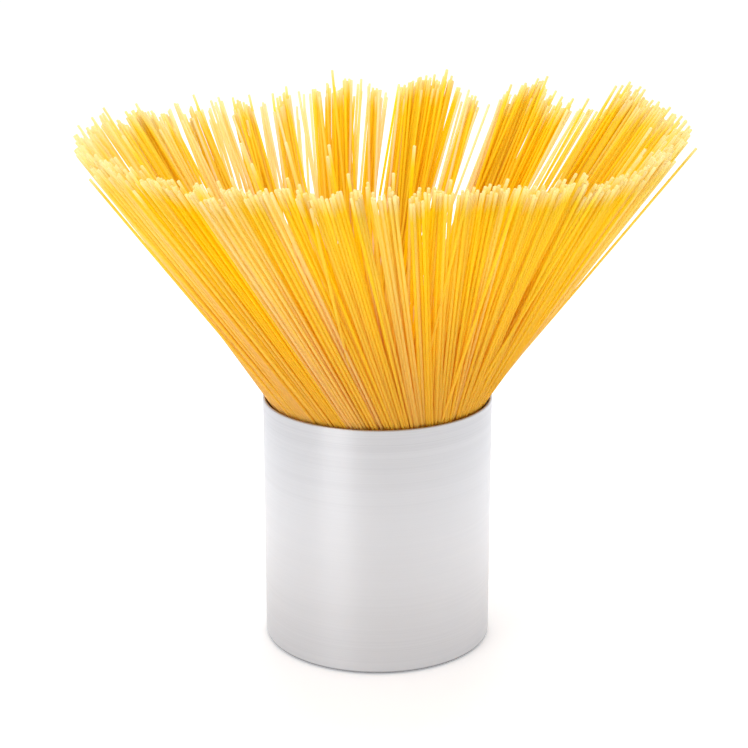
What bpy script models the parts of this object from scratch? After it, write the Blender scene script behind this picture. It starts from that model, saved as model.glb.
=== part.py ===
"""A bundle of dry angel hair pasta standing in a brushed steel pot.

The straight strands cross in the pot in a twisted sheaf, lean on its rim and fan out
above it in a ring that is hollow in the middle. Metres, +Z up, with the origin in the
middle of the pot's underside. The camera's side of the object is -Y.
"""

import math
import random

import bmesh
import bpy
from mathutils import Matrix, Vector

MM = 0.001

# The pot
POT_RADIUS = 47.0 * MM
POT_HEIGHT = 103.8 * MM
POT_WALL = 1.2 * MM
POT_EDGE = 2.0 * MM  # radius of the bent edge round the base
POT_STEPS = 64
EDGE_POINTS = 4

# One strand of pasta
STRAND_LENGTH = 255.0 * MM
STRAND_DIAMETER = 1.15 * MM
STRAND_SIDES = 5
LENGTH_SPREAD = 1.6 * MM  # how unevenly the tips stand

# The sheaf: every strand is straight, so each layer of them is a hyperboloid
CLEARANCE = 0.3 * MM  # between the pasta and the pot
FOOT_HEIGHT = POT_WALL + CLEARANCE
WAIST_HEIGHT = POT_HEIGHT / 2  # where the strands cross closest to the axis
WAIST_RADIUS = POT_RADIUS / 2
RIM_RADIUS = POT_RADIUS - POT_WALL - 1.1 * MM  # outer strands' middle, at the rim
RIM_THICKNESS = 7.2 * MM  # of the ring of strands there
OUTER_SLOPE = math.sqrt(RIM_RADIUS**2 - WAIST_RADIUS**2) / (POT_HEIGHT - WAIST_HEIGHT)
TIP_HEIGHT = FOOT_HEIGHT + STRAND_LENGTH / math.hypot(1, OUTER_SLOPE)

# The core: the sheaf without its outermost strands, from the pot's floor up
CORE_STEPS = 90
CORE_OUTSIDE = 0.03  # depth of its outer surface in the ring of strands, 0 to 1
CORE_INSIDE = 0.9
HOLLOW_FLOOR = WAIST_HEIGHT + 12.0 * MM
CORE_BELOW_TIPS = 19.0 * MM
GAP_DEPTH = 62.0 * MM  # of the notch that a gap between clusters makes in its upper edge

# The strands stand in clusters: gaps at the back as tip azimuth and width in degrees
GAPS = ((39.7, 5.0), (63.8, 6.0), (86.2, 3.5), (105.2, 3.5), (113.5, 5.0), (130.0, 3.0))
STRANDS_IN_GAP = 0.2  # share of the strands that stands in a gap's middle

# How much higher the tips stand there: tip azimuth in degrees, rise in mm
TIP_RISES = (
    (0.0, 4.0),
    (18.0, 5.0),
    (24.0, 8.0),
    (32.0, 11.0),
    (33.5, 0.0),
    (43.0, -1.0),
    (47.0, 0.0),
    (51.0, 3.0),
    (52.0, 8.5),
    (61.0, 0.5),
    (70.0, 0.0),
    (74.0, 6.0),
    (77.0, 7.5),
    (82.0, 5.0),
    (86.0, 2.0),
    (91.0, 1.0),
    (94.5, 7.5),
    (96.0, 3.0),
    (104.6, 3.0),
    (106.0, -1.5),
    (123.0, -1.5),
    (135.0, -2.0),
    (165.0, 1.0),
    (210.0, 0.0),
    (245.0, 0.0),
    (257.0, 1.5),
    (264.0, 3.0),
    (272.0, 1.5),
    (280.0, 3.0),
    (285.0, 4.0),
    (292.0, 3.0),
    (308.0, 3.5),
    (313.0, 0.0),
    (325.0, 1.0),
    (340.0, 3.5),
    (352.0, 4.5),
    (360.0, 4.0),
)

# Single strands that lean less than the others: tip azimuth in degrees, share of the lean
STRAYS = (
    (242.1, 0.74),
    (246.2, 0.76),
    (246.5, 0.86),
    (251.3, 0.75),
    (259.4, 0.80),
    (260.9, 0.77),
    (272.0, 0.875),
    (273.1, 0.89),
    (276.5, 0.79),
    (58.0, 0.90),
)
LOOSE_AZIMUTHS = (2.0, 89.0, 91.5, 178.0, 183.0, 268.0, 355.0)  # a few that stand out of the ring
LOOSE_LEAN = 1.035
LOOSE_RISE = 4.0 * MM

SURFACE_STRANDS = 84
FRINGE_STRANDS = 260
BURIED = 7.0 * MM  # length of a fringe strand inside the core
SEED = 11


def clear_scene():
    for obj in list(bpy.data.objects):
        bpy.data.objects.remove(obj)


def material(name, colour, roughness, metallic):
    """A Principled material with one linear colour."""
    made = bpy.data.materials.new(name)
    made.use_nodes = True
    shader = made.node_tree.nodes["Principled BSDF"]
    shader.inputs["Base Color"].default_value = (*colour, 1.0)
    shader.inputs["Roughness"].default_value = roughness
    shader.inputs["Metallic"].default_value = metallic
    return made


def mesh_object(name, builder, home):
    """A new object whose mesh is the one that a bmesh holds."""
    mesh = bpy.data.meshes.new(name)
    builder.to_mesh(mesh)
    builder.free()
    obj = bpy.data.objects.new(name, mesh)
    home.objects.link(obj)
    return obj


def arc(centre_r, centre_z, radius, start, end, points):
    """Points (r, z) on an arc, from one angle to the other in degrees."""
    turns = [math.radians(start + (end - start) * i / (points - 1)) for i in range(points)]
    return [(centre_r + radius * math.cos(t), centre_z + radius * math.sin(t)) for t in turns]


def pot_profile():
    """The wall's section, from the middle of the inside over the rim and under the base."""
    half_wall = POT_WALL / 2
    inner = POT_RADIUS - POT_WALL
    inner_edge = POT_EDGE - half_wall
    inside = [(0.0, POT_WALL)]
    inside += arc(inner - inner_edge, POT_WALL + inner_edge, inner_edge, -90, 0, EDGE_POINTS)
    rim = arc(POT_RADIUS - half_wall, POT_HEIGHT - half_wall, half_wall, 180, 0, EDGE_POINTS + 1)
    under = arc(POT_RADIUS - POT_EDGE, POT_EDGE, POT_EDGE, 0, -90, EDGE_POINTS)
    return inside + rim + under + [(0.0, 0.0)]


def make_pot(home):
    """The steel pot, a turned shell that is open at the top."""
    builder = bmesh.new()
    corners = [builder.verts.new((r, 0.0, z)) for r, z in reversed(pot_profile())]
    for first, second in zip(corners, corners[1:]):
        builder.edges.new((first, second))
    pot = mesh_object("pot", builder, home)
    turned = pot.modifiers.new("Turned", "SCREW")
    turned.axis = "Z"
    turned.steps = POT_STEPS
    turned.render_steps = POT_STEPS
    turned.use_merge_vertices = True
    turned.merge_threshold = 0.00001
    turned.use_smooth_shade = True
    turned.use_normal_flip = True
    pot.data.materials.append(material("brushed_steel", (0.62, 0.62, 0.63), 0.32, 1.0))
    return pot


def layer(depth):
    """(waist radius, slope) of the layer of strands this deep in the ring, 0 outside to 1."""
    waist = WAIST_RADIUS * math.sqrt(1 - depth)
    inner_rim = RIM_RADIUS - RIM_THICKNESS
    rim_squared = RIM_RADIUS**2 - depth * (RIM_RADIUS**2 - inner_rim**2)
    return waist, math.sqrt(rim_squared - waist**2) / (POT_HEIGHT - WAIST_HEIGHT)


def strand_line(depth, tip_azimuth):
    """A point at the waist and the rise per unit of height, for a strand of this layer."""
    waist, slope = layer(depth)
    turn = math.radians(tip_azimuth) + math.atan2(slope * (TIP_HEIGHT - WAIST_HEIGHT), waist)
    middle = Vector((waist * math.cos(turn), waist * math.sin(turn), WAIST_HEIGHT))
    return middle, Vector((slope * math.sin(turn), -slope * math.cos(turn), 1.0))


def on_strand(depth, tip_azimuth, height):
    middle, rise = strand_line(depth, tip_azimuth)
    return middle + rise * (height - WAIST_HEIGHT)


def in_gap(azimuth):
    """0 in a cluster, rising to 1 in the middle of a gap."""
    return max(0.0, max(1 - abs(azimuth % 360 - middle) / (width / 2) for middle, width in GAPS))


def tip_rise(azimuth):
    """How much higher than their neighbours the tips stand at this azimuth."""
    for (before, low), (after, high) in zip(TIP_RISES, TIP_RISES[1:]):
        if before <= azimuth % 360 <= after:
            share = (azimuth % 360 - before) / (after - before)
            return (low + (high - low) * share) * MM
    return 0.0


def core_top(azimuth):
    """Height of the core's upper edge, which follows the clusters and their gaps."""
    return TIP_HEIGHT + tip_rise(azimuth) - CORE_BELOW_TIPS - GAP_DEPTH * in_gap(azimuth)


def core_azimuths():
    """Evenly spaced, but with the middle and the sides of each gap in their true place."""
    even = [360 * i / CORE_STEPS for i in range(CORE_STEPS)]
    found = [a for a in even if all(abs(a - middle) > width for middle, width in GAPS)]
    for middle, width in GAPS:
        found += [middle - width / 2, middle, middle + width / 2]
    return sorted(found)


def core_rings():
    """The core's cross-sections, from the bottom up the outside and down the inside."""
    fixed = [FOOT_HEIGHT, WAIST_HEIGHT, POT_HEIGHT, POT_HEIGHT + 25 * MM]
    azimuths = core_azimuths()
    rings = [[on_strand(CORE_OUTSIDE, a, height) for a in azimuths] for height in fixed]
    rings.append([on_strand(CORE_OUTSIDE, a, core_top(a)) for a in azimuths])
    rings.append([on_strand(CORE_INSIDE, a, core_top(a)) for a in azimuths])
    rings.append([on_strand(CORE_INSIDE, a, POT_HEIGHT) for a in azimuths])
    rings.append([on_strand(CORE_INSIDE, a, HOLLOW_FLOOR) for a in azimuths])
    return rings


def make_core(home):
    """A vase-shaped solid whose edges run along the strands, with a funnel inside."""
    builder = bmesh.new()
    rings = [[builder.verts.new(point) for point in ring] for ring in core_rings()]
    for lower, upper in zip(rings, rings[1:]):
        for i in range(len(lower)):
            j = (i + 1) % len(lower)
            builder.faces.new((lower[i], lower[j], upper[j], upper[i]))
    builder.faces.new(list(reversed(rings[0])))
    builder.faces.new(rings[-1])
    bmesh.ops.triangulate(builder, faces=builder.faces)
    bmesh.ops.recalc_face_normals(builder, faces=builder.faces)
    return mesh_object("pasta_bundle", builder, home)


def spread_azimuths(count, spread):
    """Azimuths spaced evenly in the clusters and further apart in the gaps."""
    steps = 3600
    share = [1 - (1 - STRANDS_IN_GAP) * in_gap(360 * i / steps) for i in range(steps)]
    total = sum(share)
    found, reached = [], 0.0
    for i, part in enumerate(share):
        reached += part * count / total
        if reached >= len(found) + 0.5:
            found.append(360 * i / steps + spread.uniform(-0.2, 0.2))
    return found


def strand_ends(depth, azimuth, foot, spread):
    """Where a strand that is buried below the height foot starts, and its tip."""
    middle, rise = strand_line(depth, azimuth)
    uneven = max(-2.0, min(2.0, spread.gauss(0.0, 1.0))) * LENGTH_SPREAD
    tip = FOOT_HEIGHT + STRAND_LENGTH / rise.length + tip_rise(azimuth) + uneven
    return middle + rise * (foot - WAIST_HEIGHT), middle + rise * (tip - WAIST_HEIGHT)


def make_strand(low, high, home):
    """A straight strand with few sides, from one point to another."""
    along = high - low
    place = Matrix.Translation((low + high) / 2) @ along.to_track_quat("Z", "Y").to_matrix().to_4x4()
    builder = bmesh.new()
    bmesh.ops.create_cone(
        builder,
        cap_ends=True,
        segments=STRAND_SIDES,
        radius1=STRAND_DIAMETER / 2,
        radius2=STRAND_DIAMETER / 2,
        depth=along.length,
        matrix=place,
    )
    return mesh_object("strand", builder, home)


def surface_strands(home, spread):
    """The outermost strands, half sunk in the core from inside the rim to their tips."""
    for i in range(SURFACE_STRANDS):
        azimuth = 360 * (i + 0.5) / SURFACE_STRANDS
        if in_gap(azimuth) > 0:
            continue
        low, high = strand_ends(0.0, azimuth, POT_HEIGHT - 6 * MM, spread)
        make_strand(low, high, home)


def fringe_strands(home, spread):
    """The strands that stand up out of the core's upper edge."""
    for azimuth in spread_azimuths(FRINGE_STRANDS, spread):
        depth = spread.uniform(0.25, 0.75)
        low, high = strand_ends(depth, azimuth, core_top(azimuth) - BURIED, spread)
        make_strand(low, high, home)


def stray_strands(home):
    """The strands that lean less, and so leave the ring on its inside, or more."""
    loose = [(azimuth, LOOSE_LEAN) for azimuth in LOOSE_AZIMUTHS]
    for azimuth, share in (*STRAYS, *loose):
        depth = 0.5 if share < 1 else 0.0
        _, rise = strand_line(depth, azimuth)
        lean = Vector((rise.x * share, rise.y * share, 1.0))
        low = on_strand(depth, azimuth, POT_HEIGHT)
        tip = FOOT_HEIGHT + STRAND_LENGTH / lean.length + tip_rise(azimuth)
        tip += LOOSE_RISE if share > 1 else 0.0
        make_strand(low, low + lean * (tip - POT_HEIGHT), home)


def join(obj, helpers):
    """Fuses every object of the collection into obj and removes them."""
    union = obj.modifiers.new("Fused", "BOOLEAN")
    union.operation = "UNION"
    union.operand_type = "COLLECTION"
    union.collection = helpers
    union.solver = "MANIFOLD"
    graph = bpy.context.evaluated_depsgraph_get()
    obj.data = bpy.data.meshes.new_from_object(obj.evaluated_get(graph))
    obj.modifiers.clear()
    for helper in list(helpers.objects):
        bpy.data.objects.remove(helper)
    bpy.data.collections.remove(helpers)


def make_pasta(home):
    """The bundle: the core with the strands that show fused to it, as one solid."""
    helpers = bpy.data.collections.new("strands")
    bpy.context.scene.collection.children.link(helpers)
    bundle = make_core(home)
    spread = random.Random(SEED)
    surface_strands(helpers, spread)
    fringe_strands(helpers, spread)
    stray_strands(helpers)
    join(bundle, helpers)
    bundle.data.materials.clear()
    bundle.data.materials.append(material("dry_pasta", (0.86, 0.55, 0.13), 0.45, 0.0))
    return bundle


def main():
    clear_scene()
    home = bpy.data.collections.new("pasta_in_pot")
    bpy.context.scene.collection.children.link(home)
    make_pot(home)
    make_pasta(home)


main()
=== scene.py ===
"""The looks of a bundle of dry angel hair pasta that stands in a brushed steel pot.

The pasta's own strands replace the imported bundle, and a finely turned pot the packed
pot. Metres, +Z up, with the origin in the middle of the pot's underside.
"""

import math

import bmesh
import bpy
import numpy as np
from mathutils import Matrix, Vector


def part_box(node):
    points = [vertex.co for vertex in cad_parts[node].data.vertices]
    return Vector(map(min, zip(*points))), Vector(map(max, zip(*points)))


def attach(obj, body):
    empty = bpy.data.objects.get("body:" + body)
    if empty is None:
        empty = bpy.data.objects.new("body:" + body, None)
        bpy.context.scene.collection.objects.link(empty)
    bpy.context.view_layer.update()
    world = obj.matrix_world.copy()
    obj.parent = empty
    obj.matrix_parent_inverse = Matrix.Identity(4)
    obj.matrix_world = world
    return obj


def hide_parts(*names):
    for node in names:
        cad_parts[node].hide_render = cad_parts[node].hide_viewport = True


MM = 0.001

# The photograph's camera, worked out from the pot's rim and base
PHOTO_SIZE = 748  # pixels
FOCAL_LENGTH = 1906.94  # pixels
SENSOR = 36.0
CAMERA_DISTANCE = 744.8 * MM
CAMERA_HEIGHT = 342.7 * MM
CAMERA_PITCH = 0.300  # radians below the horizon
POT_RIGHT_OF_MIDDLE = 3.6  # pixels

# The pot
POT_WALL = 1.2 * MM
POT_EDGE = 0.8 * MM  # radius of the bent edge round the base
RIM_BEVEL = 0.45 * POT_WALL
POT_FLOOR = 1.45 * MM  # height of its upper side
POT_FOOT = 0.6 * MM  # how far the wall stands off the floor, on a foot set in under it
POT_FOOT_INSET = 1.2 * MM  # how far in from the bent edge the foot starts
POT_SIDES = 192

# The pasta
STRAND_COUNT = 1180
STRAND_LENGTH = 255.0 * MM
STRAND_DIAMETER = 1.15 * MM
STRAND_SIDES = 8
STRAND_CUTS = 6
END_BEVEL = 0.12 * MM
BOWS = (0.0, 0.25 * MM, 0.5 * MM)  # how far the middle of a strand stands off a straight line
RIM_THICKNESS = 7.2 * MM  # of the ring of strands at the pot's rim
RIM_CLEARANCE = 1.1 * MM  # from the pot's inner wall to the middle of the outer strands there
FOOT_CLEARANCE = 1.5 * MM  # how much further in they stand at the foot
GOLDEN_SHARE = 0.6180339887
SEED = 10

# Locks of strands that lean together
LOCK_WIDTH = (3, 8)  # degrees
LOCK_TIGHTNESS = (0.96, 1.0)  # what is left of its width once it is drawn together
LOCK_LEAN = 0.008  # spread of its lean
LOCK_RAGGED = 1.2  # spread of its length, in spreads of a single tip
TONE_SPREAD = 0.06

# Single strands that left their lock
LOOSE_SHARE = 0.05
LOOSE_SPREAD = 3.0 * MM
CLOSE_SPREAD = 0.4 * MM
STEEPER_SHARE = 0.07  # of the inner strands
STEEPER_LEAN = (0.88, 0.97)
INNER_FROM = 0.6  # share of the strands that isn't counted as inner

# How closely the strands stand: from and to a tip azimuth in degrees, crowding
CROWDING = (
    (0.0, 20.0, 1.0),
    (20.0, 28.5, 2.0),
    (28.5, 33.0, 1.2),
    (33.0, 38.0, 0.6),
    (38.0, 41.5, 0.35),
    (41.5, 43.5, 0.7),
    (43.5, 51.3, 1.4),
    (51.3, 51.8, 0.3),
    (51.8, 61.3, 1.7),
    (61.3, 66.3, 0.1),
    (66.3, 69.5, 1.3),
    (69.5, 72.2, 0.7),
    (72.2, 74.2, 1.0),
    (74.2, 78.4, 1.6),
    (78.4, 84.8, 2.0),
    (84.8, 85.6, 0.4),
    (85.6, 86.6, 0.0),
    (86.6, 88.6, 0.9),
    (88.6, 91.9, 1.4),
    (91.9, 93.0, 0.6),
    (93.0, 93.6, 0.0),
    (93.6, 95.5, 1.0),
    (95.5, 101.6, 1.7),
    (101.6, 102.2, 0.1),
    (102.2, 104.6, 1.4),
    (104.6, 105.6, 0.0),
    (105.6, 110.5, 0.6),
    (110.5, 113.8, 1.6),
    (113.8, 118.5, 0.5),
    (118.5, 124.5, 1.5),
    (124.5, 132.5, 0.8),
    (132.5, 136.5, 1.5),
    (136.5, 142.5, 0.9),
    (142.5, 143.7, 1.3),
    (143.7, 151.5, 0.9),
    (151.5, 156.0, 1.5),
    (215.0, 325.0, 1.18),
)

# How much higher the tips stand there: tip azimuth in degrees, rise in mm
TIP_RISES = (
    (0.0, 4.0),
    (18.0, 5.0),
    (24.0, 8.0),
    (32.0, 11.0),
    (33.5, 0.0),
    (43.0, -1.0),
    (47.0, 0.0),
    (51.0, 3.0),
    (52.0, 8.5),
    (61.0, 0.5),
    (70.0, 0.0),
    (74.0, 6.0),
    (77.0, 7.5),
    (82.0, 5.0),
    (86.0, 2.0),
    (91.0, 1.0),
    (94.5, 7.5),
    (96.0, 3.0),
    (104.6, 3.0),
    (106.0, -1.5),
    (123.0, -1.5),
    (135.0, -2.0),
    (165.0, 1.0),
    (210.0, 0.0),
    (245.0, 0.0),
    (257.0, 1.5),
    (264.0, 3.0),
    (272.0, 1.5),
    (280.0, 3.0),
    (285.0, 4.0),
    (292.0, 3.0),
    (308.0, 3.5),
    (313.0, 0.0),
    (325.0, 1.0),
    (340.0, 3.5),
    (352.0, 4.5),
    (360.0, 4.0),
)
MEASURED = (20.0, 135.0)  # azimuths between which that table says how long each lock is

# How unevenly single tips stand: tip azimuth in degrees, spread in mm
RAGGED = (
    (0, 2.0),
    (20, 2.2),
    (135, 2.2),
    (150, 1.8),
    (215, 1.6),
    (230, 0.9),
    (322, 0.9),
    (338, 1.7),
    (360, 2.0),
)

# How pale the locks are: up to a tip azimuth in degrees, from 0 for amber to 1 for cream. This
# paints light and shade into their colour: cream where light comes through few strands, amber
# where strands lie in the shade of others
PALENESS = (
    (7, 0.4),
    (15, 0.6),
    (17, 0.35),
    (24, 0.5),
    (26.5, 0.2),
    (29.5, 0.0),
    (37.5, 0.6),
    (43, 1.0),
    (48, 0.05),
    (49, 0.3),
    (59.5, 0.15),
    (66.5, 1.0),
    (69, 0.1),
    (72, 0.9),
    (73, 0.4),
    (84.5, 0.0),
    (86, 0.5),
    (89.5, 1.0),
    (92, 0.15),
    (95.5, 0.85),
    (100, 0.05),
    (105, 0.35),
    (110.5, 1.0),
    (113.8, 0.3),
    (118.5, 1.0),
    (125, 0.3),
    (132.5, 0.95),
    (136.5, 0.35),
    (142.5, 0.85),
    (144, 0.35),
    (151, 0.7),
    (155, 0.25),
    (158, 0.4),
    (161, 0.5),
    (163, 0.3),
    (168, 0.6),
    (216, 0.75),
    (219, 0.4),
    (222, 0.15),
    (227, 0.55),
    (235.5, 0.0),
    (245, 0.75),
    (249.5, 0.3),
    (253, 0.7),
    (257, 0.05),
    (262, 0.4),
    (266, 0.25),
    (275.5, 0.6),
    (282, 0.05),
    (284, 0.35),
    (287, 0.2),
    (291, 0.05),
    (294, 0.5),
    (297, 0.15),
    (304, 0.15),
    (326, 0.2),
    (352, 0.75),
    (360, 0.4),
)

# Single strands that lean less or more than the others: tip azimuth in degrees, share of the lean
STRAYS = (
    (201.0, 1.03),
    (204.0, 1.08),
    (208.0, 1.035),
    (333.0, 1.03),
    (336.0, 1.06),
    (341.0, 1.03),
    (242.1, 0.74),
    (246.2, 0.76),
    (246.5, 0.86),
    (251.3, 0.75),
    (259.4, 0.80),
    (260.9, 0.77),
    (272.0, 0.875),
    (273.1, 0.89),
    (276.5, 0.79),
    (58.0, 0.90),
)


def linear(hex_colour):
    """An sRGB hex colour as the linear RGBA that shaders take."""
    parts = [int(hex_colour[i : i + 2], 16) / 255 for i in (1, 3, 5)]
    turned = [c / 12.92 if c <= 0.04045 else ((c + 0.055) / 1.055) ** 2.4 for c in parts]
    return (*turned, 1.0)


def add_node(tree, kind, values=None, links=None, stops=(), **settings):
    """Adds one node with its settings, its ramp's stops, its sockets' values and its links."""
    made = tree.nodes.new(kind)
    for place, hex_colour in stops[1:-1]:
        made.color_ramp.elements.new(place).color = linear(hex_colour)
    for end in (0, -1) if stops else ():
        made.color_ramp.elements[end].position = stops[end][0]
        made.color_ramp.elements[end].color = linear(stops[end][1])
    for name, value in settings.items():
        setattr(made, name, value)
    for socket, value in (values or {}).items():
        made.inputs[socket].default_value = value
    for socket, source in (links or {}).items():
        tree.links.new(source, made.inputs[socket])
    return made


def new_material(name):
    """An empty material and its node tree."""
    made = bpy.data.materials.new(name)
    made.use_nodes = True
    made.node_tree.nodes.clear()
    return made, made.node_tree


def dry_durum_pasta():
    """Durum wheat dough, extruded and dried: matt, amber to cream, and light gets through it.

    No two strands are quite the same colour, partly at random and partly as painted light and
    shade. Faint lines from the die run along each, it has a few specks of bran, and its cut ends
    are pale because the light leaves there.
    """
    made, tree = new_material("dry_durum_pasta")
    tone = add_node(tree, "ShaderNodeAttribute", attribute_name="tone")
    along = add_node(tree, "ShaderNodeUVMap", uv_map="along_strand")
    colour = add_node(
        tree,
        "ShaderNodeValToRGB",
        links={0: tone.outputs["Fac"]},
        stops=((0.0, "#FEEB02"), (0.5, "#FCEB60"), (1.0, "#FEF3C8")),
    )

    # Lines a quarter of a millimetre wide and about 12 mm long, elsewhere on every strand
    stretched = add_node(
        tree,
        "ShaderNodeMapping",
        values={"Scale": (14, 0.85, 1)},
        links={"Vector": along.outputs["UV"]},
    )
    moved = add_node(
        tree,
        "ShaderNodeVectorMath",
        values={1: (40, 40, 40)},
        links={0: tone.outputs["Fac"], 2: stretched.outputs["Vector"]},
        operation="MULTIPLY_ADD",
    )
    lines = add_node(
        tree,
        "ShaderNodeTexNoise",
        values={"Scale": 1.0, "Detail": 1.0},
        links={"Vector": moved.outputs["Vector"]},
    )
    line_depth = add_node(
        tree,
        "ShaderNodeMapRange",
        values={"From Min": 0.45, "From Max": 0.75, "To Max": 0.2},
        links={"Value": lines.outputs["Fac"]},
    )
    lined = add_node(
        tree,
        "ShaderNodeMix",
        values={7: linear("#FAE03C")},
        links={0: line_depth.outputs["Result"], 6: colour.outputs["Color"]},
        data_type="RGBA",
    )

    # Specks of bran up to 0.3 mm across
    close = add_node(
        tree,
        "ShaderNodeMapping",
        values={"Scale": (12, 33, 1)},
        links={"Vector": along.outputs["UV"]},
    )
    specks = add_node(
        tree,
        "ShaderNodeTexNoise",
        values={"Scale": 1.0, "Detail": 0.0},
        links={"Vector": close.outputs["Vector"]},
    )
    speck_depth = add_node(
        tree,
        "ShaderNodeMapRange",
        values={"From Min": 0.78, "From Max": 0.84, "To Max": 0.5},
        links={"Value": specks.outputs["Fac"]},
    )
    specked = add_node(
        tree,
        "ShaderNodeMix",
        values={7: linear("#B98A3A")},
        links={0: speck_depth.outputs["Result"], 6: lined.outputs[2]},
        data_type="RGBA",
    )

    # Towards the pot light has come through more of them, and they look more orange
    place = add_node(tree, "ShaderNodeSeparateXYZ", links={0: along.outputs["UV"]})
    depth = add_node(
        tree,
        "ShaderNodeMapRange",
        values={"From Min": 21.5, "From Max": 11.5, "To Max": 0.7},
        links={"Value": place.outputs["Y"]},
    )
    deeper = add_node(
        tree,
        "ShaderNodeMix",
        values={7: linear("#FBD35C")},
        links={0: depth.outputs["Result"], 6: specked.outputs[2]},
        data_type="RGBA",
    )

    # The last 9 mm of the strand, which is 25.5 cm long
    end = add_node(
        tree,
        "ShaderNodeMapRange",
        values={"From Min": 24.6, "From Max": 25.4, "To Max": 0.8},
        links={"Value": place.outputs["Y"]},
    )
    body = add_node(
        tree,
        "ShaderNodeMix",
        values={7: linear("#FDF2CC")},
        links={0: end.outputs["Result"], 6: deeper.outputs[2]},
        data_type="RGBA",
    )

    relief = add_node(
        tree,
        "ShaderNodeBump",
        values={"Strength": 0.12, "Distance": 0.03 * MM},
        links={"Height": lines.outputs["Fac"]},
    )
    skin = add_node(
        tree,
        "ShaderNodeBsdfPrincipled",
        values={"Roughness": 0.55, "IOR": 1.4},
        links={"Base Color": body.outputs[2], "Normal": relief.outputs["Normal"]},
    )

    # Most of the light that enters a strand leaves it on the far side
    glow = add_node(tree, "ShaderNodeBsdfTranslucent", links={"Color": body.outputs[2]})
    both = add_node(
        tree,
        "ShaderNodeMixShader",
        values={0: 0.65},
        links={1: skin.outputs["BSDF"], 2: glow.outputs["BSDF"]},
    )
    add_node(tree, "ShaderNodeOutputMaterial", links={"Surface": both.outputs["Shader"]})
    return made


def brushed_steel():
    """Stainless steel sheet, brushed round the pot: a soft sheen cut by fine level lines.

    The brush bit deeper in some bands, and the lines are drawn darker near the rim and towards
    the foot as painted shade. A painted contact shadow darkens the foot's edge.
    """
    made, tree = new_material("brushed_stainless_steel")
    where = add_node(tree, "ShaderNodeTexCoord")

    # Brush lines 0.35 mm high and as long as a third of the way round
    drawn = add_node(
        tree,
        "ShaderNodeMapping",
        values={"Scale": (9, 9, 2800)},
        links={"Vector": where.outputs["Object"]},
    )
    lines = add_node(
        tree,
        "ShaderNodeTexNoise",
        values={"Scale": 1.0, "Detail": 3.0},
        links={"Vector": drawn.outputs["Vector"]},
    )

    # Bands of brushing 3 mm high
    spread = add_node(
        tree,
        "ShaderNodeMapping",
        values={"Scale": (4, 4, 330)},
        links={"Vector": where.outputs["Object"]},
    )
    bands = add_node(
        tree,
        "ShaderNodeTexNoise",
        values={"Scale": 1.0, "Detail": 2.0},
        links={"Vector": spread.outputs["Vector"]},
    )

    # Painted shade by height, from the foot up to the rim at 104 mm: the brush lines are drawn
    # darkest at the rim, lightest halfway up and darker again at the foot
    place = add_node(tree, "ShaderNodeSeparateXYZ", links={0: where.outputs["Object"]})
    way_up = add_node(
        tree,
        "ShaderNodeMapRange",
        values={"From Min": 0.0, "From Max": 0.104},
        links={"Value": place.outputs["Z"]},
    )
    painted_shade_by_height = add_node(tree, "ShaderNodeFloatCurve", links={"Value": way_up.outputs["Result"]})
    curve = painted_shade_by_height.mapping.curves[0]
    curve.points[0].location = (0.0, 0.5)
    curve.points[-1].location = (1.0, 1.0)
    for height, depth in ((0.22, 0.35), (0.5, 0.15), (0.72, 0.35)):
        curve.points.new(height, depth)
    painted_shade_by_height.mapping.update()
    # The bands of brushing, made darker by the painted shade by height
    cut = add_node(
        tree,
        "ShaderNodeMath",
        links={0: bands.outputs["Fac"], 1: painted_shade_by_height.outputs["Value"]},
        operation="MULTIPLY",
    )
    # Real brush lines, darkened further by painted shade
    brush_lines_and_shade = add_node(
        tree,
        "ShaderNodeMath",
        links={0: lines.outputs["Fac"], 1: cut.outputs["Value"]},
        operation="MULTIPLY",
    )
    colour = add_node(
        tree,
        "ShaderNodeMix",
        values={6: linear("#D5D5D7"), 7: linear("#B2B2B6")},
        links={0: brush_lines_and_shade.outputs["Value"]},
        data_type="RGBA",
    )

    # Painted contact shadow round the foot, up to 1.6 mm above the floor
    painted_contact_shadow = add_node(
        tree,
        "ShaderNodeMapRange",
        values={"From Min": 0.0016, "From Max": 0.0011, "To Max": 0.75},
        links={"Value": place.outputs["Z"]},
    )
    with_painted_contact_shadow = add_node(
        tree,
        "ShaderNodeMix",
        values={7: linear("#6C6C70")},
        links={0: painted_contact_shadow.outputs["Result"], 6: colour.outputs[2]},
        data_type="RGBA",
    )
    roughness = add_node(
        tree,
        "ShaderNodeMapRange",
        values={"To Min": 0.36, "To Max": 0.48},
        links={"Value": lines.outputs["Fac"]},
    )
    relief = add_node(
        tree,
        "ShaderNodeBump",
        values={"Strength": 0.25, "Distance": 0.03 * MM},
        links={"Height": brush_lines_and_shade.outputs["Value"]},
    )

    # The lines run round the pot, so they spread a reflection up and down
    brushed_way = add_node(tree, "ShaderNodeTangent", direction_type="RADIAL", axis="Z")
    base = add_node(
        tree,
        "ShaderNodeBsdfPrincipled",
        values={"Metallic": 1.0, "Anisotropic": 0.8, "Anisotropic Rotation": 0.25},
        links={
            "Base Color": with_painted_contact_shadow.outputs[2],
            "Roughness": roughness.outputs["Result"],
            "Normal": relief.outputs["Normal"],
            "Tangent": brushed_way.outputs["Tangent"],
        },
    )
    add_node(tree, "ShaderNodeOutputMaterial", links={"Surface": base.outputs["BSDF"]})
    return made


def opal_acrylic():
    """A sheet of opal acrylic to stand on, matt and white, and lit a little from below."""
    made, tree = new_material("opal_acrylic")
    base = add_node(
        tree,
        "ShaderNodeBsdfPrincipled",
        values={
            "Base Color": linear("#FAFBFE"),
            "Roughness": 0.6,
            "Emission Color": linear("#FFFFFF"),
            "Emission Strength": 0.27,
        },
    )
    add_node(tree, "ShaderNodeOutputMaterial", links={"Surface": base.outputs["BSDF"]})
    return made


def deselect_all():
    for obj in bpy.context.selected_objects:
        obj.select_set(False)


def apply_modifiers(obj):
    bpy.context.view_layer.objects.active = obj
    for modifier in list(obj.modifiers):
        bpy.ops.object.modifier_apply(modifier=modifier.name)


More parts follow.
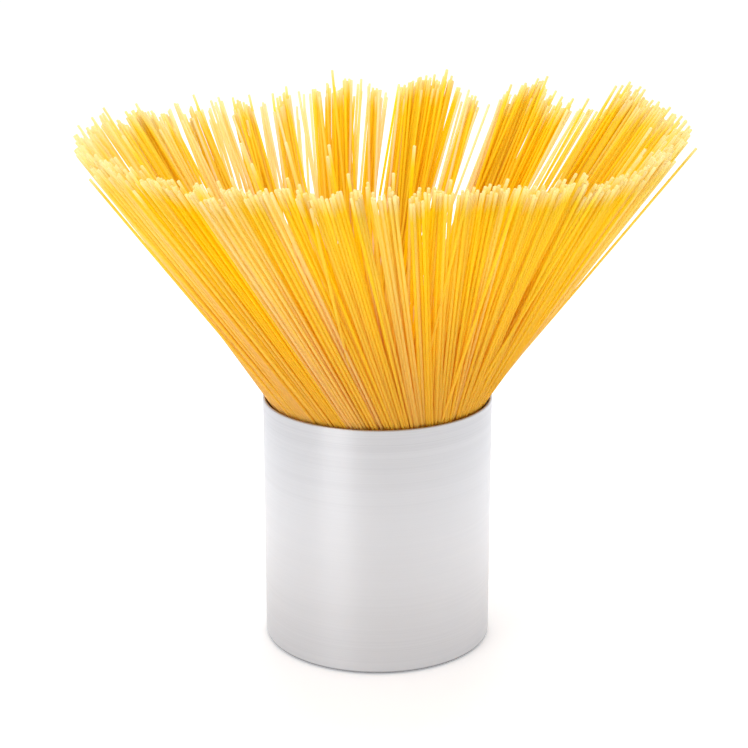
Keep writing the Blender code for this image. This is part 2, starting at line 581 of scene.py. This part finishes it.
def select_edges(obj, wanted):
    """Selects just the edges, in edit mode, whose two ends the rule wanted accepts."""
    bpy.ops.mesh.select_mode(type="EDGE")
    bpy.ops.mesh.select_all(action="DESELECT")
    cage = bmesh.from_edit_mesh(obj.data)
    for edge in cage.edges:
        edge.select_set(wanted(edge.verts[0].co, edge.verts[1].co))
    bmesh.update_edit_mesh(obj.data)


def select_faces(obj, wanted):
    """Selects just the faces, in edit mode, that the rule wanted accepts."""
    bpy.ops.mesh.select_mode(type="FACE")
    bpy.ops.mesh.select_all(action="DESELECT")
    cage = bmesh.from_edit_mesh(obj.data)
    for face in cage.faces:
        face.select_set(wanted(face.calc_center_median(), face.normal))
    bmesh.update_edit_mesh(obj.data)


def make_pot(radius, height):
    """The pot: a disc drawn up into a wall, then given its thickness and rounded edges."""
    close = 0.1 * MM

    def same_radius(a, b):
        return abs(a.xy.length - b.xy.length) < close

    def outer(corner):
        return corner.xy.length > radius - close

    deselect_all()
    bpy.ops.mesh.primitive_circle_add(
        vertices=POT_SIDES, radius=radius, fill_type="NGON", location=(0, 0, POT_FOOT)
    )
    pot = bpy.context.object
    pot.name = "pot_brushed"
    bpy.ops.object.transform_apply(location=True)
    bpy.ops.object.mode_set(mode="EDIT")
    bpy.ops.mesh.select_all(action="SELECT")
    wall_height = height - POT_FOOT
    bpy.ops.mesh.extrude_region_move(TRANSFORM_OT_translate={"value": (0, 0, wall_height)})
    select_faces(pot, lambda middle, normal: middle.z > height - MM)
    bpy.ops.mesh.delete(type="ONLY_FACE")
    bpy.ops.mesh.select_all(action="SELECT")
    bpy.ops.mesh.normals_make_consistent(inside=False)
    bpy.ops.object.mode_set(mode="OBJECT")
    wall = pot.modifiers.new("Wall", "SOLIDIFY")
    wall.thickness = POT_WALL
    wall.offset = -1
    apply_modifiers(pot)
    bpy.ops.object.mode_set(mode="EDIT")

    # The bottom is thinner than the wall, so the strands keep their place above it
    select_faces(pot, lambda middle, normal: middle.z < 2 * POT_FLOOR and normal.z > 0.99)
    bpy.ops.transform.translate(value=(0, 0, POT_FLOOR - POT_FOOT - POT_WALL))
    select_edges(pot, lambda a, b: min(a.z, b.z) > height - close and same_radius(a, b))
    bpy.ops.mesh.bevel(offset=RIM_BEVEL, segments=3, affect="EDGES")
    select_edges(pot, lambda a, b: max(a.z, b.z) < POT_FOOT + close and outer(a) and outer(b))
    bpy.ops.mesh.bevel(offset=POT_EDGE, segments=5, affect="EDGES")
    select_faces(pot, lambda middle, normal: normal.z < -0.99)
    bpy.ops.mesh.inset(thickness=POT_FOOT_INSET)
    bpy.ops.mesh.extrude_region_move(TRANSFORM_OT_translate={"value": (0, 0, -POT_FOOT)})
    bpy.ops.object.mode_set(mode="OBJECT")
    bpy.ops.object.shade_smooth_by_angle(angle=math.radians(35))
    pot.data.materials.clear()
    pot.data.materials.append(brushed_steel())
    return pot


def make_strand(bow):
    """One strand, modelled upright from z = 0: a thin rod with its cut ends just broken."""
    deselect_all()
    bpy.ops.mesh.primitive_cylinder_add(
        vertices=STRAND_SIDES,
        radius=STRAND_DIAMETER / 2,
        depth=STRAND_LENGTH,
        location=(0, 0, STRAND_LENGTH / 2),
    )
    strand = bpy.context.object
    bpy.ops.object.transform_apply(location=True)
    bpy.ops.object.mode_set(mode="EDIT")
    select_edges(strand, lambda a, b: abs(a.z - b.z) > STRAND_LENGTH / 2)
    bpy.ops.mesh.subdivide(number_cuts=STRAND_CUTS)
    select_edges(strand, lambda a, b: abs(a.z - b.z) < MM and not MM < a.z < STRAND_LENGTH - MM)
    bpy.ops.mesh.bevel(offset=END_BEVEL, segments=1, affect="EDGES")
    bpy.ops.object.mode_set(mode="OBJECT")
    for vertex in strand.data.vertices:
        share = vertex.co.z / STRAND_LENGTH
        vertex.co.x += bow * (4 * share * (1 - share) - 0.5)
    map_strand(strand.data)
    return strand


def map_strand(mesh):
    """Lays out the strand's UV map: u once round it, v its length in centimetres."""
    layer = mesh.uv_layers.active or mesh.uv_layers.new(name="UVMap")
    layer.name = "along_strand"
    for face in mesh.polygons:
        first = None
        for loop in face.loop_indices:
            place = mesh.vertices[mesh.loops[loop].vertex_index].co
            turn = math.atan2(place.y, place.x) / math.tau
            first = turn if first is None else first
            turn += round(first - turn)
            layer.data[loop].uv = (turn, place.z * 100)


def tip_rise(azimuth):
    """How much higher than their neighbours the tips stand at this azimuth, in degrees."""
    places = [place for place, _ in TIP_RISES]
    rises = [rise * MM for _, rise in TIP_RISES]
    return np.interp(azimuth % 360, places, rises)


def crowding(azimuth):
    """How closely the strands stand there, where 1 is the mean."""
    crowd = np.ones_like(azimuth)
    for start, end, value in CROWDING:
        crowd[(azimuth >= start) & (azimuth < end)] = value
    return crowd


def paleness(azimuth):
    """How pale the strands are there, on the mean."""
    row = np.searchsorted([end for end, _ in PALENESS], azimuth, side="right")
    return np.array([pale for _, pale in PALENESS])[np.minimum(row, len(PALENESS) - 1)]


def open_gaps(share):
    """Tip azimuths in degrees for shares of the way round, by how crowded each place is."""
    azimuth = np.linspace(0, 360, 7201)
    crowd = crowding(azimuth)
    reached = np.concatenate([[0], np.cumsum(crowd[1:])])
    return np.interp(share * reached[-1], reached, azimuth)


class Sheaf:
    """The strands as straight lines, each from a foot point to a point at tip height."""

    # Heights in mm at which strands are kept apart
    LEVELS = 18, 35, 52, 68, 84, 95, 103.8, 112, 120, 129, 138, 148, 158, 170, 180, 192, 203
    ROUNDS = 160
    NEAR = 2.4 * MM  # strands closer than this are looked at
    STEP = 0.3  # share of an overlap that each of two strands gives way in a round
    PULL_BACK = 0.06  # towards where the tips should be

    def __init__(self, foot_height, pot_radius, pot_height):
        self.dice = np.random.default_rng(SEED)
        self.foot_height = foot_height
        self.pot_height = pot_height
        self.waist_height = pot_height / 2
        self.waist_radius = pot_radius / 2
        self.rim_radius = pot_radius - POT_WALL - RIM_CLEARANCE
        reach = math.sqrt(self.rim_radius**2 - self.waist_radius**2)
        slope = reach / (pot_height - self.waist_height)
        self.tip_height = foot_height + STRAND_LENGTH / math.hypot(1, slope)
        self.place_strands()
        self.push_apart()

    def place_strands(self):
        """Gives every strand its depth in the ring, its place at the foot and at the tip."""
        order = np.arange(STRAND_COUNT)
        depth = (order + 0.5) / STRAND_COUNT
        share = (order * GOLDEN_SHARE) % 1.0
        self.azimuth = open_gaps(share)
        self.gather_locks(depth)
        waist = self.waist_radius * np.sqrt(1 - depth)
        inner = self.rim_radius - RIM_THICKNESS
        rim = np.sqrt(self.rim_radius**2 - depth * (self.rim_radius**2 - inner**2))
        slope = np.sqrt(rim**2 - waist**2) / (self.pot_height - self.waist_height)
        reach = slope * (self.tip_height - self.waist_height)
        turn = math.tau * share + np.arctan2(reach, waist)
        middle = np.stack([waist * np.cos(turn), waist * np.sin(turn)], 1)
        lean = np.stack([slope * np.sin(turn), -slope * np.cos(turn)], 1)
        self.low = middle + lean * (self.foot_height - self.waist_height)
        tip = np.radians(self.azimuth)
        self.high = np.stack([np.cos(tip), np.sin(tip)], 1)
        self.high *= (np.hypot(reach, waist) * (1 + self.lock_lean))[:, None]
        self.scatter()

    def scatter(self):
        """Sets single strands off their lock, and a few well inside the ring."""
        loose = self.dice.random(STRAND_COUNT) < LOOSE_SHARE
        spread = np.where(loose, LOOSE_SPREAD, CLOSE_SPREAD)[:, None]
        self.high += self.dice.normal(0, 1, self.high.shape) * spread
        inner = np.arange(STRAND_COUNT) > INNER_FROM * STRAND_COUNT
        few = inner & (self.dice.random(STRAND_COUNT) < STEEPER_SHARE)
        steeper = np.where(few, self.dice.uniform(*STEEPER_LEAN, STRAND_COUNT), 1)
        for azimuth, share in STRAYS:
            near = np.argsort(abs(self.azimuth - azimuth))[:8]
            stray = near.max() if share < 1 else near.min()
            self.azimuth[stray] = azimuth
            radius = np.linalg.norm(self.high[stray])
            turn = math.radians(azimuth)
            self.high[stray] = [math.cos(turn) * radius, math.sin(turn) * radius]
            steeper[stray] = share
        rim = self.at(self.pot_height)[0]
        self.low = rim + (self.low - rim) * steeper[:, None]
        self.high = rim + (self.high - rim) * steeper[:, None]

    def gather_locks(self, depth):
        """Draws the outer strands into locks, and gives each lock a lean, a length and a tone."""
        edges = [0.0]
        while edges[-1] < 360:
            edges.append(edges[-1] + self.dice.uniform(*LOCK_WIDTH))
        edges[-1] = 360.0
        lock = np.searchsorted(edges, self.azimuth, side="right") - 1
        lock = np.clip(lock, 0, len(edges) - 2)
        edges = np.array(edges)
        middle = (edges[lock] + edges[lock + 1]) / 2
        tightness = self.dice.uniform(*LOCK_TIGHTNESS, len(edges))[lock]
        measured = (self.azimuth > MEASURED[0]) & (self.azimuth < MEASURED[1])
        gathered = middle + (self.azimuth - middle) * tightness
        self.azimuth = np.where(measured | (depth > 0.5), self.azimuth, gathered)
        self.lock_lean = self.dice.normal(0, LOCK_LEAN, len(edges))[lock]
        ragged = np.interp(self.azimuth, *zip(*RAGGED)) * MM
        lock_length = self.dice.normal(0, LOCK_RAGGED, len(edges))[lock]
        lock_length = np.where(measured, 0, lock_length) * ragged
        single = np.clip(self.dice.normal(0, 1, STRAND_COUNT), -2.5, 2.5) * ragged
        self.slide = tip_rise(self.azimuth) + lock_length + single
        # The lock's tone is painted light and shade by azimuth, plus a random spread
        lock_tone = self.dice.normal(0, TONE_SPREAD, len(edges))[lock] + paleness(self.azimuth)
        self.tone = np.clip(lock_tone + self.dice.normal(0, TONE_SPREAD, STRAND_COUNT), 0, 1)

    def at(self, height):
        """Every strand's place at a height, and how far up the strand that is."""
        share = (height - self.foot_height) / (self.tip_height - self.foot_height)
        return self.low * (1 - share) + self.high * share, share

    def shift(self, move, share):
        """Moves every strand sideways at one height."""
        weight = (1 - share) ** 2 + share**2
        self.low += move * (1 - share) / weight
        self.high += move * share / weight

    def push_apart(self):
        """Moves strands that cut into each other apart, and keeps them inside the pot."""
        wanted = self.high.copy()
        levels = [self.foot_height] + [level * MM for level in self.LEVELS]
        for turn in range(self.ROUNDS):
            if turn % 8 == 0:
                pairs = [self.neighbours(level) for level in levels]
            for level, pair in zip(levels, pairs):
                self.part_pairs(level, *pair)
                self.keep_inside(level)
            self.high += (wanted - self.high) * self.PULL_BACK
        self.keep_inside(self.pot_height)

    def neighbours(self, level):
        place = self.at(level)[0].astype(np.float32)
        gap_x = place[:, None, 0] - place[None, :, 0]
        gap_y = place[:, None, 1] - place[None, :, 1]
        near = gap_x**2 + gap_y**2 < self.NEAR**2
        return np.nonzero(np.triu(near, 1))

    def part_pairs(self, level, first, second):
        """A strand leans, so its section there is longer along its lean than across it."""
        place, share = self.at(level)
        lean = (self.high - self.low) / (self.tip_height - self.foot_height)
        tan = np.linalg.norm(lean, axis=1)
        sin_squared = tan**2 / (1 + tan**2)
        way = lean / tan[:, None]
        apart = place[first] - place[second]
        along = way[first] + way[second]
        along /= np.linalg.norm(along, axis=1)[:, None]
        shrink = (sin_squared[first] + sin_squared[second]) / 2
        across = apart - (shrink * (apart * along).sum(1))[:, None] * along
        distance = np.sqrt(np.maximum((apart * across).sum(1), 1e-12))
        overlap = np.maximum(0, STRAND_DIAMETER - distance)
        length = np.linalg.norm(across, axis=1)
        push = across * (self.STEP * overlap * distance / length**2)[:, None]
        move = np.zeros_like(place)
        for axis in (0, 1):
            move[:, axis] += np.bincount(first, push[:, axis], len(place))
            move[:, axis] -= np.bincount(second, push[:, axis], len(place))
        self.shift(move, share)

    def keep_inside(self, level):
        """Holds the strands inside the wall, up to the rim that they lean on."""
        if level > self.pot_height + 0.1 * MM:
            return
        place, share = self.at(level)
        radius = np.linalg.norm(place, axis=1)
        limit = self.rim_radius - (FOOT_CLEARANCE if level <= self.foot_height else 0)
        too_far = np.maximum(0, radius - limit)
        self.shift(-place * (too_far / radius)[:, None], share)


def over_the_box(tip, way, box):
    """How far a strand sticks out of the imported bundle's box, along its own line."""
    lowest, highest = box
    over = 0.0
    for axis in range(3):
        if abs(way[axis]) > 0.01:
            outward = way[axis] > 0
            edge = highest[axis] - STRAND_DIAMETER if outward else lowest[axis] + STRAND_DIAMETER
            over = max(over, (tip[axis] - edge) / way[axis])
    return over


def make_pasta(sheaf, box):
    """All the strands, each a copy of a modelled one laid on its line, as one piece."""
    models = [make_strand(bow) for bow in BOWS]
    dice = sheaf.dice
    copies = []
    for i in range(STRAND_COUNT):
        low = Vector((*sheaf.low[i], sheaf.foot_height))
        high = Vector((*sheaf.high[i], sheaf.tip_height))
        way = (high - low).normalized()
        slide = sheaf.slide[i] / way.z
        slide -= over_the_box(low + way * (STRAND_LENGTH + slide), way, box)
        start = low + way * max(0.0, slide)
        size = min(1.0, 1.0 + slide / STRAND_LENGTH)
        roll = Matrix.Rotation(dice.uniform(0, math.tau), 4, "Z")
        turned = way.to_track_quat("Z", "Y").to_matrix().to_4x4()
        model = models[dice.integers(len(models))]
        copy = bpy.data.objects.new("strand", model.data.copy())
        shrunk = Matrix.Diagonal((1, 1, size, 1))
        copy.data.transform(Matrix.Translation(start) @ turned @ roll @ shrunk)
        tone = copy.data.attributes.new("tone", "FLOAT", "POINT")
        tone.data.foreach_set("value", [sheaf.tone[i]] * len(copy.data.vertices))
        bpy.context.scene.collection.objects.link(copy)
        copies.append(copy)
    for model in models:
        bpy.data.objects.remove(model)
    deselect_all()
    for copy in copies:
        copy.select_set(True)
    bpy.context.view_layer.objects.active = copies[0]
    bpy.ops.object.join()
    pasta = bpy.context.object
    pasta.name = "pasta_strands"
    bpy.ops.object.shade_smooth_by_angle(angle=math.radians(50))
    pasta.data.materials.clear()
    pasta.data.materials.append(dry_durum_pasta())
    return pasta


def make_floor():
    deselect_all()
    bpy.ops.mesh.primitive_plane_add(size=40.0, location=(0, 0, 0))
    floor = bpy.context.object
    floor.name = "floor"
    floor.data.materials.append(opal_acrylic())
    return floor


def add_light(name, place, aim, size, power):
    """A soft square studio light that points from place to aim."""
    lamp = bpy.data.lights.new(name, "AREA")
    lamp.size = size
    lamp.energy = power
    holder = bpy.data.objects.new(name, lamp)
    holder.location = place
    holder.rotation_euler = (Vector(aim) - Vector(place)).to_track_quat("-Z", "Y").to_euler()
    bpy.context.scene.collection.objects.link(holder)


def light_studio():
    """A white studio: light from all round, most of it from above and behind."""
    world = bpy.data.worlds.new("white_studio")
    world.use_nodes = True
    world.node_tree.nodes["Background"].inputs["Color"].default_value = (1, 1, 1, 1)
    world.node_tree.nodes["Background"].inputs["Strength"].default_value = 0.79
    bpy.context.scene.world = world
    add_light("above", (0, 0.1, 1.1), (0, 0, 0), 0.6, 6.8)
    add_light("back", (0, 1.0, 0.75), (0, 0, 0.15), 0.8, 1.5)
    add_light("front_left", (-0.8, -0.9, 0.8), (0, 0, 0.12), 0.7, 2.7)
    bpy.context.scene.view_settings.view_transform = "Standard"

    # Light crosses many strands on its way, and long thin pieces trace faster when split
    cycles = bpy.context.scene.cycles
    cycles.max_bounces = 20
    cycles.diffuse_bounces = 16
    cycles.transmission_bounces = 20
    cycles.debug_use_spatial_splits = True


def add_camera():
    """The photograph's camera: a long lens that looks a little down on the pot."""
    lens = bpy.data.cameras.new("camera")
    lens.sensor_width = SENSOR
    lens.lens = FOCAL_LENGTH / PHOTO_SIZE * SENSOR
    camera = bpy.data.objects.new("camera", lens)
    camera.location = (0, -CAMERA_DISTANCE, CAMERA_HEIGHT)
    camera.rotation_euler = (math.pi / 2 - CAMERA_PITCH, 0, POT_RIGHT_OF_MIDDLE / FOCAL_LENGTH)
    bpy.context.scene.collection.objects.link(camera)
    bpy.context.scene.camera = camera


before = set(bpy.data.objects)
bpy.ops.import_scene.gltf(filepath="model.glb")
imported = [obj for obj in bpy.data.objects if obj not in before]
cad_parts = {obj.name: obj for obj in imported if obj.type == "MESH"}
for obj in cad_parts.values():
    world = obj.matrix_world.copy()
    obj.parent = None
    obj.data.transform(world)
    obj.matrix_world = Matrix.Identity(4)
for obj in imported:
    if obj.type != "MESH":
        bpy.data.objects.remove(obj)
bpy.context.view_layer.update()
pot_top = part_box("pot")[1]
pasta_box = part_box("pasta_bundle")

add_camera()
light_studio()
make_floor()

pot = make_pot(pot_top[0], pot_top[2])
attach(pot, "root")
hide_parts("pot")

pasta = make_pasta(Sheaf(pasta_box[0][2], pot_top[0], pot_top[2]), pasta_box)
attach(pasta, "root")
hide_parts("pasta_bundle")
